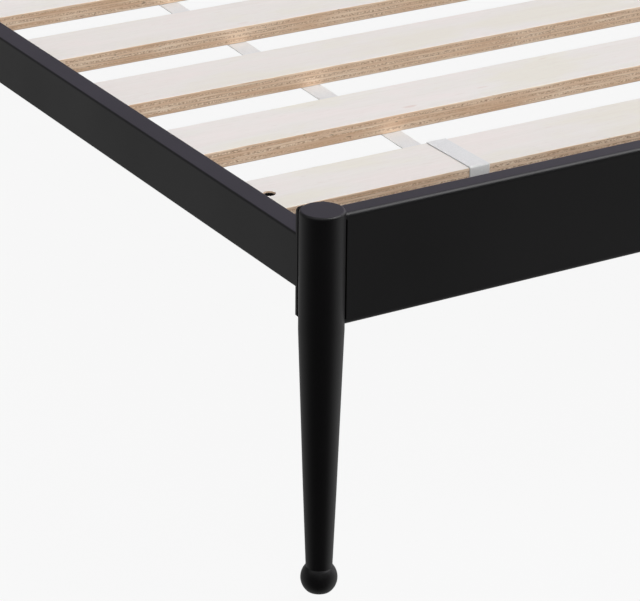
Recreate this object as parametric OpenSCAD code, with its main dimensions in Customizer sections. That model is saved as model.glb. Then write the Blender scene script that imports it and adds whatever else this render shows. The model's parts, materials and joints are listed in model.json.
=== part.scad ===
// Platform bed frame for a 60 x 80 in mattress: two welded end panels, two bolted side rails,
// a centre beam on two levelled legs, and a lift-out deck of plywood slats on webbing straps.
// Frame: origin on the floor at the middle of the bed, +X to the sleeper's right, +Y to the head, +Z up.

/* [Mattress] */
// Width of the mattress
mattress_w = 1524; // [900:1:1930]
// Length of the mattress
mattress_l = 2032; // [1880:1:2130]
// Free space between the mattress and each side rail
side_clearance = 8; // [4:1:20]
// Free space between the mattress and each end rail
end_clearance = 16; // [8:1:40]

/* [Corner posts] */
// Height of the post's flat top above the floor
post_h = 374; // [340:1:450]
// Diameter of the post above the taper
post_d = 41; // [38:1:50]
// Length of the straight part of the post, measured down from the top
post_straight = 113; // [110:1:150]
// Diameter of the post where it meets the ball
neck_d = 24.5; // [22:0.5:28]
// How much thicker than a straight taper the post is a third of the way up the taper
taper_belly = 0.4; // [0:0.1:1]
// Diameter of the ball foot
ball_d = 34; // [30:1:40]
// Height of the ball's centre above the floor
ball_z = 13.5; // [11:0.5:14]
// Wall of the post tube
post_wall = 1.6; // [1.2:0.1:2]
// Thickness of the flat cap on the post
cap_t = 3; // [2:0.5:4]

/* [End rails] */
// Height of the end rail's section
end_rail_h = 105.5; // [90:0.5:106]
// Width of the end rail's section
end_rail_w = 22; // [18:1:24]
// Drop from the post's top to the end rail's top
end_rail_drop = 3.5; // [3:0.5:8]

/* [Side rails] */
// Height of the side rail's section
side_rail_h = 51; // [48:1:60]
// Width of the side rail's section
side_rail_w = 23; // [18:1:24]
// Drop from the post's top to the side rail's top
side_rail_drop = 26.5; // [22:0.5:30]
// Distance of the side rail's inner face inside the post's axis
side_rail_in = 8.5; // [7.5:0.5:9]

/* [Slat deck] */
// Number of slats
slat_count = 13; // [11:1:13]
// Width of one slat
slat_w = 74; // [60:1:80]
// Thickness of one slat
slat_t = 17.5; // [15:0.5:20]
// Distance from the front of one slat to the front of the next
slat_pitch = 152; // [130:1:155]
// Drop from the post's top to the slats' top
slat_drop = 35.5; // [34:0.5:40]
// Free space between a slat's end and the side rail
slat_end_gap = 4; // [2:0.5:6]
// Width of a webbing strap
strap_w = 22.5; // [15:0.5:30]
// Thickness of a webbing strap
strap_t = 1; // [0.8:0.1:1.5]
// Distance from a post's axis to the middle of the strap on its side
strap_inset = 226.5; // [150:0.5:400]

/* [Centre support] */
// Width of the centre beam
beam_w = 30; // [25:1:40]
// Height of the centre beam
beam_h = 50; // [40:1:50]
// Distance of each centre leg from the middle of the bed
leg_y = 590; // [300:1:800]
// Diameter of a centre leg
leg_d = 32; // [28:1:38]
// Travel of a levelling foot
level_travel = 12; // [5:1:15]

/* [Hidden] */
$fn = 64;
eps = 0.01;

// Colours
STEEL = [0.07, 0.07, 0.08];
FASTENER = [0.12, 0.12, 0.13];
ZINC = [0.7, 0.71, 0.73];
PLASTIC = [0.1, 0.1, 0.1];
PLYWOOD = [0.91, 0.87, 0.83];
WEBBING = [0.9, 0.91, 0.91];

// Places of the posts
post_r = post_d / 2;
post_x = mattress_w / 2 + side_clearance + side_rail_in;
post_y = mattress_l / 2 + end_clearance + end_rail_w / 2;
cap_z = post_h - cap_t;
neck_z = ball_z + sqrt(pow(ball_d / 2, 2) - pow(neck_d / 2, 2));
taper_z = post_h - post_straight;
belly_z = neck_z + (taper_z - neck_z) / 3;
belly_r = neck_d / 2 + (post_r - neck_d / 2) / 3 + taper_belly / 2;
ball_flat_z = 1.5;
cap_edge_r = 2.5;
weld_gap = 0.05;
spigot_r = neck_d / 2 - post_wall - 0.15;
spigot_top = neck_z + 20;

// Glide under a ball foot
glide_r = 9;
glide_pin_r = 2.5;
glide_pin_h = 8;

// End rails
tube_wall = 1.5;
end_rail_edge_r = 4.5;
end_rail_top = post_h - end_rail_drop;
end_rail_end = post_r - 1.7;
end_rail_l = 2 * (post_x - end_rail_end);
cope_gap = 0.3;
plug_start = post_r + cope_gap;
plug_t = 2;
plug_fit = 0.1;
weld_h = 5.5;
weld_l = 3;

// Corner bracket: a plate let into the back of the post, with an ear beside the side rail
plate_w = 30.8;
plate_t = 3;
plate_y = 16;
plate_top = post_h - 1;
plate_h = 105.5;
plate_corner_r = 4;
plate_chamfer = 3.5;
rail_y = plate_y + plate_t;
ear_t = 4;
ear_l = 52;
ear_h = 44;
ear_corner_r = 5;
ear_z = post_h - 52;
bolt_ys = [34, 56];

// Side rails
side_rail_edge_r = 2;
side_rail_top = post_h - side_rail_drop;
side_rail_mid_x = side_rail_in - side_rail_w / 2;
side_rail_l = 2 * (post_y - rail_y);

// Bolts through the ear into the side rail's inner wall, M8
bolt_r = 4;
bolt_hole_r = 4.25;
bolt_head_r = 7;
bolt_head_h = 4.4;
bolt_socket_r = 2.9;
bolt_socket_h = 2.6;
washer_r = 8;
washer_t = 1.6;
nut_r = 7.2;
nut_h = 7;
nut_bore_r = 4.05;
bolt_tip = side_rail_in - 12;

// Slats
slat_top = post_h - slat_drop;
slat_under = slat_top - slat_t;
slat_l = 2 * (post_x - side_rail_in - slat_end_gap);
slat_edge_r = 1;
slat_mid = (slat_count - 1) / 2;
slat_first_y = -slat_mid * slat_pitch;
pin_inset = 23;
pin_hole_r = 6;
pin_r = 5.3;
pin_bore_r = 4.1;
pin_below_top = 1;
pin_chamfer = 0.6;

// Straps and their staples
strap_x = post_x - strap_inset;
strap_tail = 2;
staple_w = 10;
staple_d = 1.2;
staple_t = 0.7;

// Ledges that carry the slats' ends
ledge_w = 30;
ledge_h = 20;
ledge_t = 3;
ledge_start = rail_y + ear_l + 3;

// Centre beam and its hangers
beam_edge_r = 2;
beam_end_gap = 3.5;
beam_half_l = post_y - end_rail_w / 2 - beam_end_gap;
hanger_t = 3;
hanger_back_w = 74;
hanger_back_h = 56;
hanger_reach = 40;
hanger_gap = 0.5;
hanger_screw_x = 27;
screw_r = 3;
screw_hole_r = 3.3;
screw_head_r = 5.5;
screw_head_h = 3;
screw_l = 12;

// Centre legs
leg_wall = 1.5;
leg_plate_l = 76;
leg_plate_t = 3;
leg_screw_y = 29;
leg_top = slat_under - beam_h - leg_plate_t;
leg_bottom = 23;
insert_flange_t = 3;
insert_h = 25;
insert_fit = 0.1;
stud_r = 5;
stud_bore_r = 5.06;
stud_foot_z = 6;
stud_engaged = 29;
stud_top = leg_bottom + stud_engaged + level_travel;
stud_hex_r = 8;
stud_hex_z = 11.5;
stud_hex_h = 7;
pad_r = 19;
pad_t = 5;
pad_boss_r = 9;
pad_boss_h = 10;
pad_bore_r = 5.1;

// ---- shapes that repeat ----

// A rectangle with round corners, centred
module round_rect(w, h, r) {
    square([w - 2 * r, h], center = true);
    square([w, h - 2 * r], center = true);
    for (sx = [-1, 1], sy = [-1, 1])
        translate([sx * (w / 2 - r), sy * (h / 2 - r)]) circle(r);
}

// A tube of rounded rectangular section
module tube_section(w, h, r, wall) {
    difference() {
        round_rect(w, h, r);
        round_rect(w - 2 * wall, h - 2 * wall, r - wall / 2);
    }
}

// Extrudes a section drawn in Y and Z along X, centred
module along_x(l) {
    rotate([90, 0, 90]) translate([0, 0, -l / 2]) linear_extrude(l) children();
}

// Extrudes a section drawn in X and Z along Y, centred
module along_y(l) {
    rotate([90, 0, 0]) translate([0, 0, -l / 2]) linear_extrude(l) children();
}

// A cylinder from the origin towards +X
module rod_x(r, l, sides = 48) {
    rotate([0, 90, 0]) cylinder(h = l, r = r, $fn = sides);
}

// Puts a corner piece, drawn for the front left with the post's axis at the origin, at any corner
module corner(right, rear) {
    translate([right ? post_x : -post_x, rear ? post_y : -post_y, 0])
        mirror([right ? 1 : 0, 0, 0])
            mirror([0, rear ? 1 : 0, 0])
                children();
}

module each_corner() {
    for (right = [false, true], rear = [false, true])
        corner(right, rear) children();
}

// ---- corner posts ----

// Outline of the bracket's plate in X and Z
module plate_outline() {
    half = plate_w / 2;
    low = plate_top - plate_h;
    inner = half - plate_corner_r;
    polygon([[-half + plate_chamfer, low], [half - plate_chamfer, low],
        [half, low + plate_chamfer], [half, plate_top - plate_corner_r],
        [inner, plate_top - plate_corner_r], [inner, plate_top], [-inner, plate_top],
        [-inner, plate_top - plate_corner_r], [-half, plate_top - plate_corner_r],
        [-half, low + plate_chamfer]]);
    for (sx = [-1, 1])
        translate([sx * inner, plate_top - plate_corner_r]) circle(plate_corner_r);
}

module post(right, rear) {
    color(STEEL) corner(right, rear) difference() {
        rotate_extrude() polygon([[neck_d / 2, neck_z], [belly_r, belly_z], [post_r, taper_z],
            [post_r, cap_z], [post_r - post_wall, cap_z], [post_r - post_wall, taper_z],
            [belly_r - post_wall, belly_z], [neck_d / 2 - post_wall, neck_z]]);
        translate([0, plate_y + post_r / 2, 0]) along_y(post_r) plate_outline();
    }
}

module post_caps() {
    color(STEEL) each_corner() {
        translate([0, 0, cap_z]) rotate_extrude() {
            square([post_r, cap_t - cap_edge_r]);
            square([post_r - cap_edge_r, cap_t]);
            intersection() {
                translate([post_r - cap_edge_r, cap_t - cap_edge_r]) circle(cap_edge_r);
                square([post_r, cap_t]);
            }
        }
        difference() {
            translate([0, 0, cap_z - 8]) cylinder(h = 8 + eps, r = post_r - post_wall - 0.2);
            translate([-post_r, plate_y - 0.2, cap_z - 9]) cube([post_d, post_r, 9]);
        }
    }
}

module ball_foot(right, rear) {
    color(STEEL) corner(right, rear) difference() {
        union() {
            intersection() {
                translate([0, 0, ball_z]) sphere(ball_d / 2);
                translate([0, 0, ball_flat_z]) cylinder(h = neck_z - ball_flat_z, r = ball_d);
            }
            translate([0, 0, ball_z]) cylinder(h = spigot_top - ball_z, r = spigot_r);
        }
        cylinder(h = glide_pin_h + 0.5, r = glide_pin_r + 0.1);
    }
}

module foot_glides() {
    color(PLASTIC) each_corner() {
        cylinder(h = ball_flat_z, r = glide_r);
        cylinder(h = glide_pin_h, r = glide_pin_r);
    }
}

// ---- end rails ----

// A tube whose ends are coped to fit round the posts
module end_rail(rear) {
    color(STEEL) translate([0, rear ? post_y : -post_y, end_rail_top - end_rail_h / 2])
        difference() {
            along_x(end_rail_l) tube_section(end_rail_w, end_rail_h, end_rail_edge_r, tube_wall);
            for (sx = [-1, 1])
                translate([sx * hanger_screw_x, rear ? -end_rail_w / 2 : end_rail_w / 2,
                    hanger_mid_z() - end_rail_top + end_rail_h / 2])
                    rotate([90, 0, 0]) cylinder(h = 4 * tube_wall, r = screw_r + 0.05, center = true);
            for (sx = [-1, 1])
                translate([sx * post_x, 0, 0])
                    cylinder(h = end_rail_h + 2, r = post_r + cope_gap, center = true);
        }
}

// Plates that close the ends of the end rails
module end_rail_plugs() {
    color(STEEL) each_corner()
        translate([plug_start + plug_t / 2, 0, end_rail_top - end_rail_h / 2])
            along_x(plug_t) round_rect(end_rail_w - 2 * tube_wall - plug_fit,
                end_rail_h - 2 * tube_wall - plug_fit, end_rail_edge_r - tube_wall / 2);
}

// Welds ground flush at the top and bottom of the crevice between a post and its end rail
module end_rail_welds() {
    color(STEEL) each_corner() difference() {
        translate([end_rail_end - weld_l / 2, 0, end_rail_top - end_rail_h / 2])
            along_x(weld_l) round_rect(end_rail_w, end_rail_h, end_rail_edge_r);
        cylinder(h = post_h, r = post_r + weld_gap);
        translate([0, -post_r, end_rail_top - end_rail_h + weld_h])
            cube([post_d, post_d, end_rail_h - 2 * weld_h]);
    }
}

// ---- side rails and their brackets ----

module bracket(right, rear) {
    color(STEEL) corner(right, rear) difference() {
        union() {
            translate([0, plate_y + plate_t / 2, 0]) along_y(plate_t) plate_outline();
            translate([side_rail_in, plate_y, ear_z - ear_h / 2])
                cube([ear_t, plate_t + ear_l - ear_corner_r, ear_h]);
            translate([side_rail_in, plate_y, ear_z - ear_h / 2 + ear_corner_r])
                cube([ear_t, plate_t + ear_l, ear_h - 2 * ear_corner_r]);
            for (sz = [-1, 1])
                translate([side_rail_in, rail_y + ear_l - ear_corner_r,
                    ear_z + sz * (ear_h / 2 - ear_corner_r)])
                    rod_x(ear_corner_r, ear_t);
        }
        translate([0, 0, cap_z]) cylinder(h = cap_t + 1, r = post_r + weld_gap);
        for (y = bolt_ys)
            translate([side_rail_in - 1, y, ear_z]) rod_x(bolt_hole_r, ear_t + 2);
    }
}

module side_rail(right) {
    color(STEEL) difference() {
        translate([(right ? 1 : -1) * (post_x - side_rail_mid_x), 0,
            side_rail_top - side_rail_h / 2])
            along_y(side_rail_l) tube_section(side_rail_w, side_rail_h, side_rail_edge_r, tube_wall);
        for (rear = [false, true], y = bolt_ys)
            corner(right, rear)
                translate([side_rail_in - 2 * tube_wall, y, ear_z]) rod_x(bolt_hole_r, 3 * tube_wall);
    }
}

module at_bolts() {
    each_corner() for (y = bolt_ys) translate([0, y, ear_z]) children();
}

module rail_bolts() {
    head_x = side_rail_in + ear_t + washer_t;
    color(FASTENER) at_bolts() difference() {
        union() {
            translate([bolt_tip, 0, 0]) rod_x(bolt_r, head_x - bolt_tip + eps);
            translate([head_x, 0, 0]) rotate([0, 90, 0])
                cylinder(h = bolt_head_h, r1 = bolt_head_r, r2 = bolt_head_r - 2);
        }
        translate([head_x + bolt_head_h - bolt_socket_h, 0, 0])
            rod_x(bolt_socket_r, bolt_socket_h + 1, 6);
    }
}

module rail_washers() {
    color(ZINC) at_bolts() difference() {
        translate([side_rail_in + ear_t, 0, 0]) rod_x(washer_r, washer_t);
        translate([side_rail_in, 0, 0]) rod_x(bolt_hole_r, ear_t + washer_t + 1);
    }
}

module rail_nuts() {
    color(ZINC) at_bolts() difference() {
        translate([side_rail_in - tube_wall - nut_h, 0, 0]) rod_x(nut_r, nut_h, 6);
        translate([side_rail_in - tube_wall - nut_h - 1, 0, 0]) rod_x(nut_bore_r, nut_h + 2);
    }
}

module ledge(right) {
    l = 2 * (post_y - ledge_start);
    x = (right ? 1 : -1) * (post_x - side_rail_in);
    color(STEEL) translate([x, 0, slat_under]) mirror([right ? 1 : 0, 0, 0]) {
        translate([0, -l / 2, -ledge_t]) cube([ledge_w, l, ledge_t]);
        translate([0, -l / 2, -ledge_h]) cube([ledge_t, l, ledge_h]);
    }
}

// Pins of tube on the ledges that the first and last slats drop over
module locating_pins() {
    pin_h = slat_t - pin_below_top;
    color(STEEL) for (sx = [-1, 1], sy = [-1, 1])
        translate([sx * (post_x - pin_inset), sy * slat_first_y, slat_under])
            rotate_extrude() polygon([[pin_bore_r, 0], [pin_r, 0], [pin_r, pin_h - pin_chamfer],
                [pin_r - pin_chamfer, pin_h], [pin_bore_r, pin_h]]);
}

// ---- centre support ----

function hanger_mid_z() = slat_under - hanger_back_h / 2 + 4;

module centre_beam() {
    color(STEEL) difference() {
        translate([0, 0, slat_under - beam_h / 2])
            along_y(2 * beam_half_l) tube_section(beam_w, beam_h, beam_edge_r, tube_wall);
        for (sy = [-1, 1], s = [-1, 1])
            translate([0, sy * leg_y + s * leg_screw_y, slat_under - beam_h - 1])
                cylinder(h = tube_wall + 2, r = screw_r + 0.05);
    }
}

// A cradle fixed to the end rail's inner face, which the centre beam drops into
module beam_hanger(rear) {
    inner = beam_w / 2 + hanger_gap;
    shelf_z = slat_under - beam_h - hanger_t;
    cheek_h = beam_h - 8 + hanger_t;
    color(STEEL) mirror([0, rear ? 1 : 0, 0]) translate([0, -post_y + end_rail_w / 2, 0])
        difference() {
            union() {
                translate([0, hanger_t / 2, hanger_mid_z()])
                    along_y(hanger_t) round_rect(hanger_back_w, hanger_back_h, 6);
                translate([-inner - hanger_t, 0, shelf_z])
                    cube([2 * (inner + hanger_t), hanger_reach, hanger_t]);
                for (sx = [-1, 1])
                    translate([sx * (inner + hanger_t / 2) - hanger_t / 2, 0, shelf_z])
                        cube([hanger_t, hanger_reach, cheek_h]);
            }
            for (sx = [-1, 1])
                translate([sx * hanger_screw_x, hanger_t / 2, hanger_mid_z()])
                    rotate([90, 0, 0]) cylinder(h = hanger_t + 2, r = screw_hole_r, center = true);
        }
}

module hanger_screws() {
    color(FASTENER) for (rear = [false, true], sx = [-1, 1])
        mirror([0, rear ? 1 : 0, 0])
            translate([sx * hanger_screw_x, -post_y + end_rail_w / 2 + hanger_t, hanger_mid_z()])
                rotate([90, 0, 0]) {
                    translate([0, 0, -1]) cylinder(h = screw_l + 1, r = screw_r);
                    translate([0, 0, -screw_head_h])
                        cylinder(h = screw_head_h, r1 = screw_head_r - 1.5, r2 = screw_head_r);
                }
}

module centre_leg(rear) {
    color(STEEL) translate([0, (rear ? 1 : -1) * leg_y, leg_bottom]) difference() {
        cylinder(h = leg_top - leg_bottom, r = leg_d / 2);
        translate([0, 0, -1]) cylinder(h = leg_top - leg_bottom + 2, r = leg_d / 2 - leg_wall);
    }
}

module leg_plates() {
    color(STEEL) for (sy = [-1, 1])
        translate([0, sy * leg_y, leg_top]) difference() {
            linear_extrude(leg_plate_t) round_rect(beam_w, leg_plate_l, 6);
            for (s = [-1, 1])
                translate([0, s * leg_screw_y, -1]) cylinder(h = leg_plate_t + 2, r = screw_hole_r);
        }
}

module leg_screws() {
    color(FASTENER) for (sy = [-1, 1], s = [-1, 1])
        translate([0, sy * leg_y + s * leg_screw_y, leg_top]) {
            translate([0, 0, -1]) cylinder(h = screw_l + 1, r = screw_r);
            translate([0, 0, -screw_head_h])
                cylinder(h = screw_head_h, r1 = screw_head_r - 1.5, r2 = screw_head_r);
        }
}

// Plastic plugs in the legs' lower ends that the studs screw into
module leg_inserts() {
    color(PLASTIC) for (sy = [-1, 1])
        translate([0, sy * leg_y, leg_bottom]) difference() {
            union() {
                translate([0, 0, -insert_flange_t]) cylinder(h = insert_flange_t, r = leg_d / 2);
                translate([0, 0, -eps])
                    cylinder(h = insert_h + eps, r = leg_d / 2 - leg_wall - insert_fit);
            }
            translate([0, 0, -insert_flange_t - 1])
                cylinder(h = insert_h + insert_flange_t + 2, r = stud_bore_r);
        }
}

module leveller_pad(rear) {
    color(PLASTIC) translate([0, (rear ? 1 : -1) * leg_y, 0]) difference() {
        union() {
            cylinder(h = pad_t - 1, r = pad_r);
            translate([0, 0, pad_t - 1 - eps]) cylinder(h = 1 + eps, r1 = pad_r, r2 = pad_r - 2);
            cylinder(h = pad_boss_h, r = pad_boss_r);
        }
        translate([0, 0, stud_foot_z]) cylinder(h = pad_boss_h, r = pad_bore_r);
    }
}

module leveller_stud(rear) {
    color(ZINC) translate([0, (rear ? 1 : -1) * leg_y, 0]) {
        translate([0, 0, stud_foot_z]) cylinder(h = stud_top - stud_foot_z, r = stud_r);
        translate([0, 0, stud_hex_z]) cylinder(h = stud_hex_h, r = stud_hex_r, $fn = 6);
    }
}

// ---- slat deck ----

// Slats are numbered from the foot end; the first and last have holes for the locating pins
module slat(i) {
    has_holes = i == 0 || i == slat_count - 1;
    color(PLYWOOD) if (i < slat_count)
        translate([0, slat_first_y + i * slat_pitch, slat_top - slat_t / 2]) difference() {
            along_x(slat_l) round_rect(slat_w, slat_t, slat_edge_r);
            if (has_holes) for (sx = [-1, 1])
                translate([sx * (post_x - pin_inset), 0, 0])
                    cylinder(h = slat_t + 2, r = pin_hole_r, center = true);
        }
}

// The strap's section in Y and Z at its foot end: under the slats, up the first slat's face
// and back over its top
module strap_wrap() {
    difference() {
        round_rect(slat_w + 2 * strap_t, slat_t + 2 * strap_t, slat_edge_r + strap_t);
        round_rect(slat_w, slat_t, slat_edge_r);
        translate([slat_w / 2 - strap_tail, -slat_t / 2])
            square([strap_tail + strap_t + 1, slat_t + strap_t + 1]);
    }
}

module strap(right) {
    run = -2 * slat_first_y;
    color(WEBBING) translate([(right ? 1 : -1) * strap_x, 0, 0]) {
        for (m = [0, 1])
            mirror([0, m, 0]) translate([0, slat_first_y, slat_top - slat_t / 2])
                along_x(strap_w) strap_wrap();
        translate([-strap_w / 2, -run / 2, slat_under - strap_t]) cube([strap_w, run, strap_t]);
    }
}

// Crowns of the staples that hold each slat to the straps
module strap_staples() {
    color(ZINC) for (sx = [-1, 1], i = [0 : slat_count - 1])
        translate([sx * strap_x - staple_w / 2, slat_first_y + i * slat_pitch - staple_d / 2,
            slat_under - strap_t - staple_t])
            cube([staple_w, staple_d, staple_t]);
}

post(false, false);  // post_front_left
post(true, false);  // post_front_right
post(false, true);  // post_rear_left
post(true, true);  // post_rear_right
post_caps();
ball_foot(false, false);  // ball_foot_front_left
ball_foot(true, false);  // ball_foot_front_right
ball_foot(false, true);  // ball_foot_rear_left
ball_foot(true, true);  // ball_foot_rear_right
foot_glides();
end_rail(false);  // foot_end_rail
end_rail(true);  // head_end_rail
end_rail_plugs();
end_rail_welds();
side_rail(false);  // side_rail_left
side_rail(true);  // side_rail_right
bracket(false, false);  // bracket_front_left
bracket(true, false);  // bracket_front_right
bracket(false, true);  // bracket_rear_left
bracket(true, true);  // bracket_rear_right
rail_bolts();
rail_washers();
rail_nuts();
ledge(false);  // ledge_left
ledge(true);  // ledge_right
locating_pins();
centre_beam();
beam_hanger(false);  // beam_hanger_foot
beam_hanger(true);  // beam_hanger_head
hanger_screws();
centre_leg(false);  // centre_leg_foot
centre_leg(true);  // centre_leg_head
leg_plates();
leg_screws();
leg_inserts();
leveller_pad(false);  // leveller_pad_foot
leveller_pad(true);  // leveller_pad_head
leveller_stud(false);  // leveller_stud_foot
leveller_stud(true);  // leveller_stud_head
slat(0);  // slat_01
slat(1);  // slat_02
slat(2);  // slat_03
slat(3);  // slat_04
slat(4);  // slat_05
slat(5);  // slat_06
slat(6);  // slat_07
slat(7);  // slat_08
slat(8);  // slat_09
slat(9);  // slat_10
slat(10);  // slat_11
slat(11);  // slat_12
slat(12);  // slat_13
strap(false);  // strap_left
strap(true);  // strap_right
strap_staples();
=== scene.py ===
"""Platform bed frame: finishes, webbing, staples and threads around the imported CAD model.

Lengths are in metres, in the CAD frame: the origin is on the floor at the middle of the bed,
+Y runs to the head end and +Z up. The camera looks at the foot end's left corner post.
"""
import json
import math

import bmesh
import bpy
from mathutils import Matrix, Vector


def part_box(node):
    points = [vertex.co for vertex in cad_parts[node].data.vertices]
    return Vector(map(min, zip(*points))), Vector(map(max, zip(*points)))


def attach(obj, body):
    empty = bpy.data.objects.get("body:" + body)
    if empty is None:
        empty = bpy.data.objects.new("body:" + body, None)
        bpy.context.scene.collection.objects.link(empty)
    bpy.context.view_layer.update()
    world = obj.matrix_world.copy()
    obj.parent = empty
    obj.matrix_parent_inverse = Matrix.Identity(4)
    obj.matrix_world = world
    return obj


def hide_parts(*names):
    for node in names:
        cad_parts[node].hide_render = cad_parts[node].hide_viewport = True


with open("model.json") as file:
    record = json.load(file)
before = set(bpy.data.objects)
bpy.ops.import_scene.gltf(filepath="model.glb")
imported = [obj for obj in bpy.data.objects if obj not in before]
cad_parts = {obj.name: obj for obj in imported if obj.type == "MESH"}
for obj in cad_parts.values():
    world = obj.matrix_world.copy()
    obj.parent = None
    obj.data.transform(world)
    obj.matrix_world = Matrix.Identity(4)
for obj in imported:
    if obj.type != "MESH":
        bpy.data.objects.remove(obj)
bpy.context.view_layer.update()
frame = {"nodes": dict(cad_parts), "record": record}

MM = 0.001
SLATS = sorted(name for name in frame["nodes"] if name.startswith("slat_"))
SLAT_LOW, SLAT_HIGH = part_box(SLATS[0])
SLAT_T = SLAT_HIGH.z - SLAT_LOW.z
SLAT_W = SLAT_HIGH.y - SLAT_LOW.y
SLAT_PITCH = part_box(SLATS[1])[0].y - SLAT_LOW.y
SLAT_EDGE_R = 1 * MM

# The camera's heading clockwise from +Y, its tilt down and its roll, in degrees; its place from
# the top of the nearest post; and its lens and sensor width, in mm
CAMERA_TURN, CAMERA_TILT, CAMERA_ROLL = 31.17, 24.05, 0.545
CAMERA_FROM_POST = Vector((-1.2099, -1.9975, 0.9567))
CAMERA_LENS, CAMERA_SENSOR = 164.98, 36

# How far the levelling feet come down when they are screwed right out, with a little to spare
FLOOR_BELOW = 12.5 * MM
FLOOR_GLOW = 0.915


# ---------------------------------------------------------------- node trees
class Nodes:
    """Short calls for building a material's node tree."""

    def __init__(self, tree):
        self.tree = tree

    def add(self, kind, **values):
        node = self.tree.nodes.new(kind)
        for name, value in values.items():
            setattr(node, name, value)
        return node

    def put(self, socket, value):
        """Sets a socket to a number, a colour or another node's output."""
        if isinstance(value, bpy.types.NodeSocket):
            self.tree.links.new(value, socket)
        elif value is not None:
            socket.default_value = value

    def math(self, operation, a, b=None, c=None):
        node = self.add("ShaderNodeMath", operation=operation)
        for socket, value in zip(node.inputs, (a, b, c)):
            self.put(socket, value)
        return node.outputs[0]

    def vector(self, operation, a, b=None, c=None):
        """A vector operation; its dot product comes out as a number."""
        node = self.add("ShaderNodeVectorMath", operation=operation)
        for socket, value in zip(node.inputs, (a, b, c)):
            self.put(socket, value)
        return node.outputs["Value" if operation == "DOT_PRODUCT" else "Vector"]

    def split(self, vector):
        node = self.add("ShaderNodeSeparateXYZ")
        self.put(node.inputs[0], vector)
        return node.outputs

    def smooth(self, value, start, end, low=0.0, high=1.0):
        """Goes smoothly from low at start to high at end."""
        node = self.add("ShaderNodeMapRange", interpolation_type="SMOOTHSTEP")
        for socket, number in zip(node.inputs, (value, start, end, low, high)):
            self.put(socket, number)
        return node.outputs[0]

    def mix(self, factor, a, b):
        """Mixes two colours, each a tuple or another node's output."""
        node = self.add("ShaderNodeMix", data_type="RGBA")
        self.put(node.inputs[0], factor)
        self.put(node.inputs[6], (*a, 1) if isinstance(a, tuple) else a)
        self.put(node.inputs[7], (*b, 1) if isinstance(b, tuple) else b)
        return node.outputs[2]

    def object_place(self, scale=(1, 1, 1)):
        place = self.add("ShaderNodeTexCoord")
        mapping = self.add("ShaderNodeMapping")
        mapping.inputs["Scale"].default_value = scale
        self.put(mapping.inputs["Vector"], place.outputs["Object"])
        return mapping.outputs[0]

    def noise(self, vector, scale=1.0, detail=2.0, roughness=0.5, distortion=0.0):
        node = self.add("ShaderNodeTexNoise")
        self.put(node.inputs["Vector"], vector)
        node.inputs["Scale"].default_value = scale
        node.inputs["Detail"].default_value = detail
        node.inputs["Roughness"].default_value = roughness
        node.inputs["Distortion"].default_value = distortion
        return node.outputs["Fac"]

    def ramp(self, factor, *stops):
        """A colour ramp through stops of (position, colour), or of (position, grey)."""
        node = self.add("ShaderNodeValToRGB")
        elements = node.color_ramp.elements
        while len(elements) < len(stops):
            elements.new(0.5)
        for element, (position, colour) in zip(elements, stops):
            element.position = position
            element.color = (*(colour if isinstance(colour, tuple) else (colour,) * 3), 1)
        self.put(node.inputs[0], factor)
        return node.outputs[0]

    def bump(self, height, strength, distance, normal=None):
        node = self.add("ShaderNodeBump")
        node.inputs["Strength"].default_value = strength
        node.inputs["Distance"].default_value = distance
        self.put(node.inputs["Height"], height)
        self.put(node.inputs["Normal"], normal)
        return node.outputs[0]


def new_material(name):
    material = bpy.data.materials.new(name)
    material.use_nodes = True
    tree = material.node_tree
    return material, Nodes(tree), tree.nodes["Principled BSDF"].inputs


# ---------------------------------------------------------------- materials
def powder_coat():
    """Satin black powder coat: fine orange peel, with a faint cloudiness."""
    material, n, shader = new_material("powder_coat")
    place = n.object_place()
    cloud = n.noise(place, 9, 4)
    peel = n.noise(place, 700, 2)
    grain = n.noise(place, 2600, 1)
    tint = n.ramp(cloud, (0.3, (0.0054, 0.0052, 0.0055)), (0.7, (0.0070, 0.0067, 0.0071)))
    n.put(shader["Base Color"], tint)
    n.put(shader["Roughness"], n.ramp(cloud, (0.3, 0.36), (0.7, 0.42)))
    n.put(shader["Normal"], n.bump(grain, 0.06, 0.0001, n.bump(peel, 0.10, 0.0003)))
    return material


def black_fastener():
    """Black oxide on steel, rubbed a little lighter in patches."""
    material, n, shader = new_material("black_fastener")
    place = n.object_place()
    rub = n.noise(place, 240, 4, 0.6)
    tint = n.ramp(rub, (0.35, (0.020, 0.020, 0.022)), (0.62, (0.035, 0.035, 0.038)),
        (0.8, (0.16, 0.155, 0.15)))
    n.put(shader["Base Color"], tint)
    n.put(shader["Roughness"], n.ramp(rub, (0.3, 0.42), (0.7, 0.28)))
    n.put(shader["Normal"], n.bump(n.noise(place, 1800, 2), 0.12, 0.0001))
    shader["Metallic"].default_value = 0.85
    return material


def zinc_steel():
    """Bright zinc plate: cool grey with faint yellow and blue drifts and fine scratches."""
    material, n, shader = new_material("zinc_steel")
    place = n.object_place()
    drift = n.noise(place, 130, 3)
    scratch = n.noise(n.object_place((300, 2600, 300)), 1, 3)
    tint = n.ramp(drift, (0.3, (0.50, 0.53, 0.58)), (0.5, (0.62, 0.63, 0.64)), (0.7, (0.66, 0.63, 0.55)))
    n.put(shader["Base Color"], n.mix(n.ramp(scratch, (0.45, 0.0), (0.75, 0.35)), tint, (0.36, 0.37, 0.39)))
    n.put(shader["Roughness"], n.ramp(scratch, (0.35, 0.24), (0.7, 0.40)))
    n.put(shader["Normal"], n.bump(scratch, 0.10, 0.0001))
    shader["Metallic"].default_value = 1.0
    return material


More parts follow.
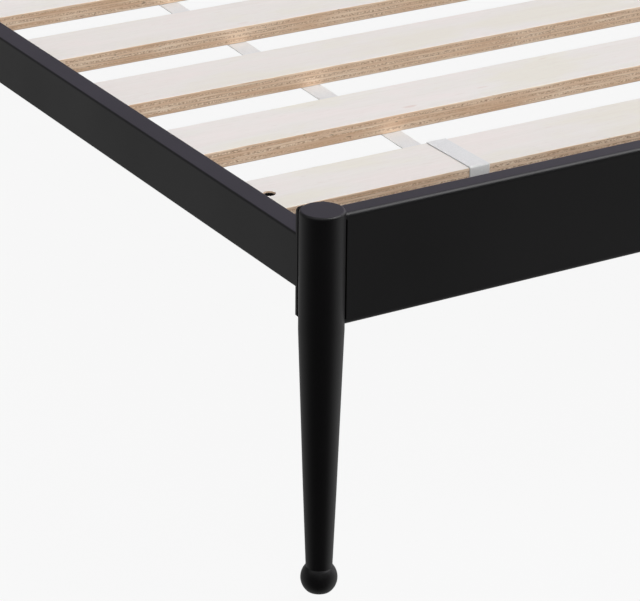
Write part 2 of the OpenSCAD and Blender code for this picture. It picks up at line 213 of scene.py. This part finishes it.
def black_plastic():
    """Moulded black nylon with a fine spark-eroded grain and scuffed patches."""
    material, n, shader = new_material("black_plastic")
    place = n.object_place()
    grain = n.noise(place, 1500, 3, 0.6)
    scuff = n.noise(place, 160, 5, 0.65)
    n.put(shader["Base Color"], n.ramp(scuff, (0.45, (0.010, 0.010, 0.011)), (0.75, (0.030, 0.029, 0.028))))
    n.put(shader["Roughness"], n.ramp(scuff, (0.4, 0.48), (0.75, 0.68)))
    n.put(shader["Normal"], n.bump(grain, 0.35, 0.0002))
    return material


def ply_face(n, place, tone):
    """Colour of the pale face veneer: drifting pink and straw tints, long grain and short pores."""
    drift = n.noise(n.vector("MULTIPLY", place, (7.0, 17.0, 17.0)), 1, 4, 0.6)
    tint = n.ramp(drift, (0.36, (0.870, 0.812, 0.775)), (0.5, (0.845, 0.818, 0.772)),
        (0.64, (0.835, 0.808, 0.715)))
    grain = n.noise(n.vector("MULTIPLY", place, (5.0, 170.0, 170.0)), 1, 4, 0.6, 0.4)
    tint = n.mix(n.ramp(grain, (0.35, 0.0), (0.75, 0.30)), tint, (0.765, 0.700, 0.640))
    pores = n.noise(n.vector("MULTIPLY", place, (70.0, 1100.0, 1100.0)), 1, 1)
    tint = n.mix(n.ramp(pores, (0.62, 0.0), (0.80, 0.35)), tint, (0.640, 0.560, 0.500))
    fleck = n.noise(n.vector("MULTIPLY", place, (26.0, 95.0, 95.0)), 1, 1)
    tint = n.mix(n.ramp(fleck, (0.74, 0.0), (0.82, 0.40)), tint, (0.620, 0.430, 0.350))
    return n.mix(n.ramp(tone, (0.0, 0.0), (1.0, 0.16)), tint, (0.74, 0.68, 0.62))


def ply_edge(n, place, depth):
    """Colour and height of the cut edge: seven plies with thin glue lines and a few voids, each dented and
    painted dark as the shade inside it.

    Long-grain plies show streaks and cross-grain plies show the speckle of end grain.
    """
    waver = n.noise(n.vector("MULTIPLY", place, (12.0, 12.0, 0.0)), 1, 3)
    level = n.math("MULTIPLY_ADD", waver, 0.9, n.math("MULTIPLY_ADD", depth, 7.0, -0.45))
    cross = n.math("PINGPONG", n.math("FLOOR", level), 1.0)
    streak = n.noise(n.vector("MULTIPLY", place, (20.0, 20.0, 1100.0)), 1, 4, 0.65)
    speckle = n.noise(n.vector("MULTIPLY", place, (420.0, 420.0, 800.0)), 1, 3, 0.6)
    patch = n.noise(n.vector("MULTIPLY", place, (9.0, 9.0, 160.0)), 1, 3)
    long_ply = n.ramp(streak, (0.36, (0.66, 0.45, 0.30)), (0.5, (0.90, 0.69, 0.51)),
        (0.62, (0.96, 0.81, 0.65)))
    cross_ply = n.ramp(speckle, (0.38, (0.42, 0.26, 0.17)), (0.5, (0.78, 0.57, 0.40)),
        (0.62, (0.97, 0.80, 0.63)))
    colour = n.mix(n.math("MULTIPLY", cross, 0.9), long_ply, cross_ply)
    colour = n.mix(n.ramp(patch, (0.42, 0.0), (0.66, 0.8)), colour, (0.72, 0.48, 0.31))
    fading = n.noise(n.vector("MULTIPLY", place, (17.0, 17.0, 190.0)), 1, 2)
    presence = n.ramp(fading, (0.42, 0.05), (0.62, 0.70))
    glue = n.math("SUBTRACT", 1.0, n.smooth(n.math("PINGPONG", level, 0.5), 0.01, 0.10))
    colour = n.mix(n.math("MULTIPLY", glue, presence), colour, (0.30, 0.18, 0.11))
    hole = n.noise(n.vector("MULTIPLY", place, (95.0, 95.0, 460.0)), 1, 1)
    void_with_painted_shade = n.math("MULTIPLY", n.smooth(hole, 0.72, 0.79), n.math("SUBTRACT", 1.0, cross))
    # Painted shade: the voids are coloured near-black for the shade inside them, besides being dented in the
    # height below.
    colour = n.mix(void_with_painted_shade, colour, (0.09, 0.055, 0.035))
    height = n.math("SUBTRACT", n.math("MULTIPLY_ADD", speckle, 0.5, streak), void_with_painted_shade)
    return colour, height


def plywood():
    """Bare sanded plywood: pale faces and layered edges, slightly different on every slat."""
    material, n, shader = new_material("plywood")
    source = n.add("ShaderNodeTexCoord")
    place, facing = source.outputs["Object"], n.split(source.outputs["Normal"])
    _, y, z = n.split(place)
    from_foot = n.math("SUBTRACT", y, SLAT_LOW.y - SLAT_PITCH / 4)
    number = n.math("FLOOR", n.math("DIVIDE", from_foot, SLAT_PITCH))
    dice = n.add("ShaderNodeTexWhiteNoise", noise_dimensions="1D")
    n.put(dice.inputs["W"], number)
    shift = n.add("ShaderNodeCombineXYZ")
    n.put(shift.inputs["X"], n.math("MULTIPLY", number, 3.7))
    moved = n.vector("ADD", place, shift.outputs[0])
    depth = n.math("DIVIDE", n.math("SUBTRACT", z, SLAT_LOW.z), SLAT_T)
    face = ply_face(n, moved, dice.outputs["Value"])
    edge, edge_height = ply_edge(n, moved, depth)
    is_face = n.smooth(n.math("ABSOLUTE", facing[2]), 0.55, 0.85)
    n.put(shader["Base Color"], n.mix(is_face, edge, face))
    n.put(shader["Roughness"], n.ramp(is_face, (0.0, 0.78), (1.0, 0.58)))
    grain = n.noise(n.vector("MULTIPLY", moved, (8.0, 420.0, 420.0)), 1, 3)
    height = n.mix(is_face, edge_height, grain)
    n.put(shader["Normal"], n.bump(height, 0.22, 0.0003))
    shader["Specular IOR Level"].default_value = 0.30
    return material


def webbing():
    """White polypropylene webbing: a plain weave of ribs across the strap, with fine threads along it, the
    weave's hollows painted darker and its crowns lighter as shade and highlight.
    """
    material, n, shader = new_material("webbing")
    x, y, z = n.split(n.object_place())
    length = n.math("ADD", y, z)
    ribs = n.math("SINE", n.math("MULTIPLY", length, 2 * math.pi / (1.5 * MM)))
    threads = n.math("SINE", n.math("MULTIPLY", x, 2 * math.pi / (1.2 * MM)))
    weave = n.math("MULTIPLY", ribs, threads)
    fuzz = n.noise(n.object_place((600, 600, 600)), 1, 3)
    soil = n.noise(n.object_place((14, 14, 14)), 1, 3)
    # shade holds painted shade and highlight of the weave, darker in its hollows and lighter on its crowns,
    # plus a random fuzz tone
    shade = n.math("MULTIPLY_ADD", weave, 0.12, n.math("MULTIPLY_ADD", fuzz, 0.4, 0.3))
    colour = n.ramp(shade, (0.25, (0.66, 0.66, 0.65)), (0.55, (0.80, 0.80, 0.79)), (0.8, (0.86, 0.86, 0.85)))
    n.put(shader["Base Color"], n.mix(n.ramp(soil, (0.4, 0.0), (0.8, 0.18)), colour, (0.66, 0.64, 0.60)))
    n.put(shader["Roughness"], n.ramp(fuzz, (0.3, 0.50), (0.7, 0.66)))
    n.put(shader["Normal"], n.bump(weave, 0.35, 0.0002))
    shader["Specular IOR Level"].default_value = 0.4
    return material


MATERIALS = {make.__name__: make()
    for make in (powder_coat, black_fastener, zinc_steel, black_plastic, plywood, webbing)}
SLOT_OF = {part["node"]: part["material_slot"] for part in frame["record"]["subparts"]}


def finish_nodes():
    """Gives every CAD node the material of its slot in the record."""
    for name, node in frame["nodes"].items():
        node.data.materials.clear()
        node.data.materials.append(MATERIALS[SLOT_OF[name]])


# ---------------------------------------------------------------- mesh helpers
def new_piece(name, bm, body, stands_for, smooth=True):
    """Makes an object of the mesh, riding on a CAD body in place of a CAD node, in that node's finish."""
    bmesh.ops.recalc_face_normals(bm, faces=bm.faces)
    mesh = bpy.data.meshes.new(name)
    bm.to_mesh(mesh)
    bm.free()
    for polygon in mesh.polygons:
        polygon.use_smooth = smooth
    mesh.materials.append(MATERIALS[SLOT_OF[stands_for]])
    piece = bpy.data.objects.new(name, mesh)
    bpy.context.scene.collection.objects.link(piece)
    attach(piece, body)
    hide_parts(stands_for)
    return piece


def loft(bm, loops):
    """Joins closed loops of points into one closed tube, with a face over each end."""
    rings = [[bm.verts.new(point) for point in loop] for loop in loops]
    for one, other in zip(rings, rings[1:]):
        for k in range(len(one)):
            m = (k + 1) % len(one)
            bm.faces.new((one[k], one[m], other[m], other[k]))
    for end in (rings[0], rings[-1][::-1]):
        for edge in bm.faces.new(end).edges:
            edge.smooth = False


def sweep(bm, path, section, side):
    """Moves a section of (sideways, outwards) offsets along a path that lies in one plane.

    side is the plane's normal, and outwards is to the left of the way along the path.
    """
    loops = []
    for i, point in enumerate(path):
        along = (path[min(i + 1, len(path) - 1)] - path[max(i - 1, 0)]).normalized()
        outwards = side.cross(along)
        loops.append([point + side * a + outwards * b for a, b in section])
    loft(bm, loops)


def arc(centre, radius, start, end, steps):
    """Points of an arc in the YZ plane, from angle start to end in degrees, 0 towards +Y."""
    turns = [math.radians(start + (end - start) * i / steps) for i in range(steps + 1)]
    return [centre + Vector((0, math.cos(t), math.sin(t))) * radius for t in turns]


# ---------------------------------------------------------------- webbing straps
def strap_line(strap_low, strap_high):
    """The strap's middle line, from its tail on the last slat to its tail on the first."""
    x = (strap_low.x + strap_high.x) / 2
    thick = SLAT_LOW.z - strap_low.z
    tail, sag = 0.4 * MM, 1.4 * MM
    radius = SLAT_EDGE_R + thick / 2
    top, bottom = SLAT_HIGH.z + thick / 2, SLAT_LOW.z - thick / 2
    front = SLAT_LOW.y + SLAT_EDGE_R
    half = []
    steps = 12 * (len(SLATS) - 1) // 2
    for i in range(steps):
        y = (SLAT_LOW.y + SLAT_W / 2) * i / steps
        gap = (abs(y) % SLAT_PITCH - SLAT_W / 2) / (SLAT_PITCH - SLAT_W)
        drop = sag * math.sin(math.pi * gap) ** 2 if 0 < gap < 1 else 0
        half.append(Vector((x, y, bottom - drop)))
    half += arc(Vector((x, front, SLAT_LOW.z + SLAT_EDGE_R)), radius, 270, 180, 5)
    half += arc(Vector((x, front, SLAT_HIGH.z - SLAT_EDGE_R)), radius, 180, 90, 5)
    half += [Vector((x, front + (SLAT_W - SLAT_EDGE_R - tail) * i / 8, top)) for i in range(1, 9)]
    mirrored = [Vector((p.x, -p.y, p.z)) for p in half[:0:-1]]
    return mirrored + half


def strap_section(width, thick):
    """Points around a woven band's section: ribs along the band, and rolled edges."""
    count, rib = 32, 1.25 * MM
    upper = []
    for i in range(count + 1):
        a = (i / count - 0.5) * width
        edge = (width / 2 - abs(a)) / (1.1 * MM)
        body = 0.36 + 0.05 * math.cos(2 * math.pi * a / rib)
        roll = 0.5 * math.sqrt(max(0.0, 1 - (edge - 1) ** 2)) if edge < 1 else 0.36 + 0.14 * max(0, 2 - edge)
        upper.append((a, thick * (roll if edge < 2 else body)))
    return upper + [(a, -b) for a, b in upper[-2:0:-1]]


def add_strap(node):
    """A webbing strap in place of one of the CAD's plain straps."""
    low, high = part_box(node)
    width, thick = high.x - low.x, SLAT_LOW.z - low.z
    line = strap_line(low, high)
    bm = bmesh.new()
    sweep(bm, line, strap_section(width, thick), Vector((1, 0, 0)))
    piece = new_piece(node + "_webbing", bm, "slat_deck", node)


# ---------------------------------------------------------------- staples
def add_staples():
    """Flat-wire staples through the webbing, one under each slat on each strap."""
    half_w, half_t, corner = 5 * MM, 0.32 * MM, 0.8 * MM
    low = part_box("strap_staples")[0].z + half_t
    leg_top = SLAT_LOW.z + 1 * MM
    turns = [2 * math.pi * k / 10 for k in range(10)]
    section = [(0.6 * MM * math.cos(t), half_t * math.sin(t)) for t in turns]
    bm = bmesh.new()
    for strap in ("strap_left", "strap_right"):
        x = sum(end.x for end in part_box(strap)) / 2
        for slat in SLATS:
            y = sum(end.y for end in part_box(slat)) / 2
            crown = []
            for s in (-1, 1):
                bend = []
                for k in range(5):
                    t = math.radians(90 * k / 4)
                    bend.append(Vector((x + s * (half_w - half_t - corner * (1 - math.sin(t))), y,
                        low + corner * (1 - math.cos(t)))))
                leg = bend + [Vector((x + s * (half_w - half_t), y, leg_top))]
                crown = leg[::-1] if s < 0 else crown + leg
            sweep(bm, crown, section, Vector((0, 1, 0)))
    new_piece("webbing_staples", bm, "slat_deck", "strap_staples")


# ---------------------------------------------------------------- levelling studs
def add_stud(node):
    """A levelling foot's stud: an M10 thread of 1.5 mm pitch and a chamfered hexagon."""
    low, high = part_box(node)
    x, y = (low.x + high.x) / 2, (low.y + high.y) / 2
    crest, root, pitch, around = 5 * MM, 4.15 * MM, 1.5 * MM, 24
    bm = bmesh.new()
    loops = []
    rings = round((high.z - low.z) / pitch * 8)
    for i in range(rings + 1):
        z = low.z + (high.z - low.z) * i / rings
        end = min(z - low.z, high.z - z) / MM
        loop = []
        for k in range(around):
            t = 2 * math.pi * k / around
            wave = abs(((z / pitch - k / around) % 1) * 2 - 1)
            r = root + (crest - root) * min(1, 1.3 * wave) - max(0, 1 - end) * 0.6 * MM
            loop.append(Vector((x + r * math.cos(t), y + r * math.sin(t), z)))
        loops.append(loop)
    loft(bm, loops)
    hex_r, hex_low, hex_h, chamfer = (high.x - low.x) / 2, 11.5 * MM, 7 * MM, 0.9 * MM
    levels = [(hex_low, hex_r - chamfer), (hex_low + chamfer / 2, hex_r),
        (hex_low + hex_h - chamfer / 2, hex_r), (hex_low + hex_h, hex_r - chamfer)]
    loft(bm, [[Vector((x + r * math.cos(t), y + r * math.sin(t), z))
        for t in [math.pi * k / 3 for k in range(6)]] for z, r in levels])
    new_piece(node.replace("stud", "screw"), bm, node, node, smooth=False)


# ---------------------------------------------------------------- camera
def add_camera():
    """The camera, looking down on the foot end's left corner post."""
    post_low, post_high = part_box("post_front_left")
    cap_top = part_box("post_caps")[1].z
    post_top = Vector(((post_low.x + post_high.x) / 2, (post_low.y + post_high.y) / 2, cap_top))
    turn, tilt, roll = (math.radians(a) for a in (CAMERA_TURN, CAMERA_TILT, CAMERA_ROLL))
    ahead = Vector((math.sin(turn) * math.cos(tilt), math.cos(turn) * math.cos(tilt), -math.sin(tilt)))
    right = Vector((math.cos(turn), -math.sin(turn), 0))
    up = right.cross(ahead)
    rolled_right = right * math.cos(roll) + up * math.sin(roll)
    rolled_up = up * math.cos(roll) - right * math.sin(roll)
    data = bpy.data.cameras.new("camera")
    data.sensor_width = CAMERA_SENSOR
    data.lens = CAMERA_LENS
    data.clip_start, data.clip_end = 0.05, 400
    camera = bpy.data.objects.new("camera", data)
    bpy.context.scene.collection.objects.link(camera)
    camera.location = post_top + CAMERA_FROM_POST
    camera.rotation_mode = "QUATERNION"
    camera.rotation_quaternion = Matrix((rolled_right, rolled_up, -ahead)).transposed().to_quaternion()
    bpy.context.scene.camera = camera


# ---------------------------------------------------------------- stage and light
def add_stage():
    """A pale floor that curves up into a far wall all round.

    It lies just low enough to clear a levelling foot that is screwed right out, and casts no
    shadow, so that its wall doesn't shade the bed from the lower lights.
    """
    flat_r, bend_r, wall_top, around = 30.0, 30.0, 90.0, 64
    profile = [(flat_r, 0.0)]
    for i in range(1, 13):
        a = math.radians(90 * i / 12)
        profile.append((flat_r + bend_r * math.sin(a), bend_r * (1 - math.cos(a))))
    profile.append((flat_r + bend_r, wall_top))
    bm = bmesh.new()
    centre = bm.verts.new((0, 0, 0))
    columns = [[bm.verts.new((r * math.cos(t), r * math.sin(t), z)) for r, z in profile]
        for t in [2 * math.pi * k / around for k in range(around)]]
    for one, other in zip(columns, columns[1:] + columns[:1]):
        bm.faces.new((centre, one[0], other[0]))
        for i in range(len(one) - 1):
            bm.faces.new((one[i], one[i + 1], other[i + 1], other[i]))
    mesh = bpy.data.meshes.new("floor")
    bm.to_mesh(mesh)
    bm.free()
    for polygon in mesh.polygons:
        polygon.use_smooth = True
    material, n, shader = new_material("floor")
    n.put(shader["Base Color"], n.ramp(n.noise(n.object_place(), 2, 2), (0.3, 0.028), (0.7, 0.032)))
    shader["Roughness"].default_value = 1
    shader["Specular IOR Level"].default_value = 0
    shader["Emission Color"].default_value = (1, 1, 1, 1)
    shader["Emission Strength"].default_value = FLOOR_GLOW
    mesh.materials.append(material)
    floor = bpy.data.objects.new("floor", mesh)
    bpy.context.scene.collection.objects.link(floor)
    floor.location.z = -FLOOR_BELOW
    floor.visible_diffuse = False
    floor.visible_glossy = False
    floor.visible_shadow = False


def heading(turn, height):
    """A direction: turn is clockwise from the camera's own side as seen from above.

    So -90 is to the camera's right, and 180 is behind the bed.
    """
    a, e = math.radians(180 + CAMERA_TURN + turn), math.radians(height)
    return Vector((math.sin(a) * math.cos(e), math.cos(a) * math.cos(e), math.sin(e)))


def add_world():
    """Studio surroundings: dark behind the camera, pale low down at the sides and the back.

    A large soft light stands above and to the camera's right, and a cool wall behind the bed.
    """
    world = bpy.data.worlds.new("studio")
    bpy.context.scene.world = world
    world.use_nodes = True
    n = Nodes(world.node_tree)
    direction = n.add("ShaderNodeTexCoord").outputs["Generated"]
    height = n.split(direction)[2]
    camera_side = n.vector("DOT_PRODUCT", direction, tuple(heading(0, 0)))
    share = n.math("MULTIPLY_ADD", camera_side, 0.5, 0.5)
    low_light = n.ramp(share, (0.0, 0.42), (0.12, 0.34), (0.28, 0.29), (0.45, 0.28), (0.62, 0.12),
        (0.78, 0.03), (0.95, 0.01))
    fade = n.smooth(height, 0.0, 0.4, 1.0, 0.4)
    total = n.vector("MULTIPLY", low_light, fade)
    for turn, lift, reach, colour in (
        (-96, 55, 25, (4.2, 4.2, 4.25)),
        (-175, 24, 40, (0.15, 0.12, 0.21)),
        (-135, 30, 45, (0.70, 0.67, 0.73)),
        (-104, -24, 50, (0.20, 0.20, 0.20)),
        (70, 50, 30, (0.30, 0.30, 0.30)),
        (0, 80, 50, (0.46, 0.46, 0.48)),
    ):
        centre = heading(turn, lift)
        towards = n.vector("DOT_PRODUCT", direction, tuple(centre))
        near = n.smooth(towards, math.cos(math.radians(reach)), 1.0)
        total = n.vector("MULTIPLY_ADD", near, colour, total)
    n.put(world.node_tree.nodes["Background"].inputs["Color"], total)


def add_sun(name, turn, height, strength, spread):
    """Light that the paint's gloss doesn't show, from a heading as the world's lights have."""
    data = bpy.data.lights.new(name, "SUN")
    data.energy = strength
    data.angle = math.radians(spread)
    light = bpy.data.objects.new(name, data)
    light.rotation_mode = "QUATERNION"
    light.rotation_quaternion = heading(turn, height).to_track_quat("Z", "Y")
    light.visible_glossy = False
    bpy.context.scene.collection.objects.link(light)


finish_nodes()
for name in ("strap_left", "strap_right"):
    add_strap(name)
add_staples()
for name in ("leveller_stud_foot", "leveller_stud_head"):
    add_stud(name)
add_camera()
add_stage()
add_world()
add_sun("front", -16, 31, 1.6, 40)
add_sun("left", 79, 30, 0.2, 50)
bpy.context.scene.view_settings.view_transform = "Standard"
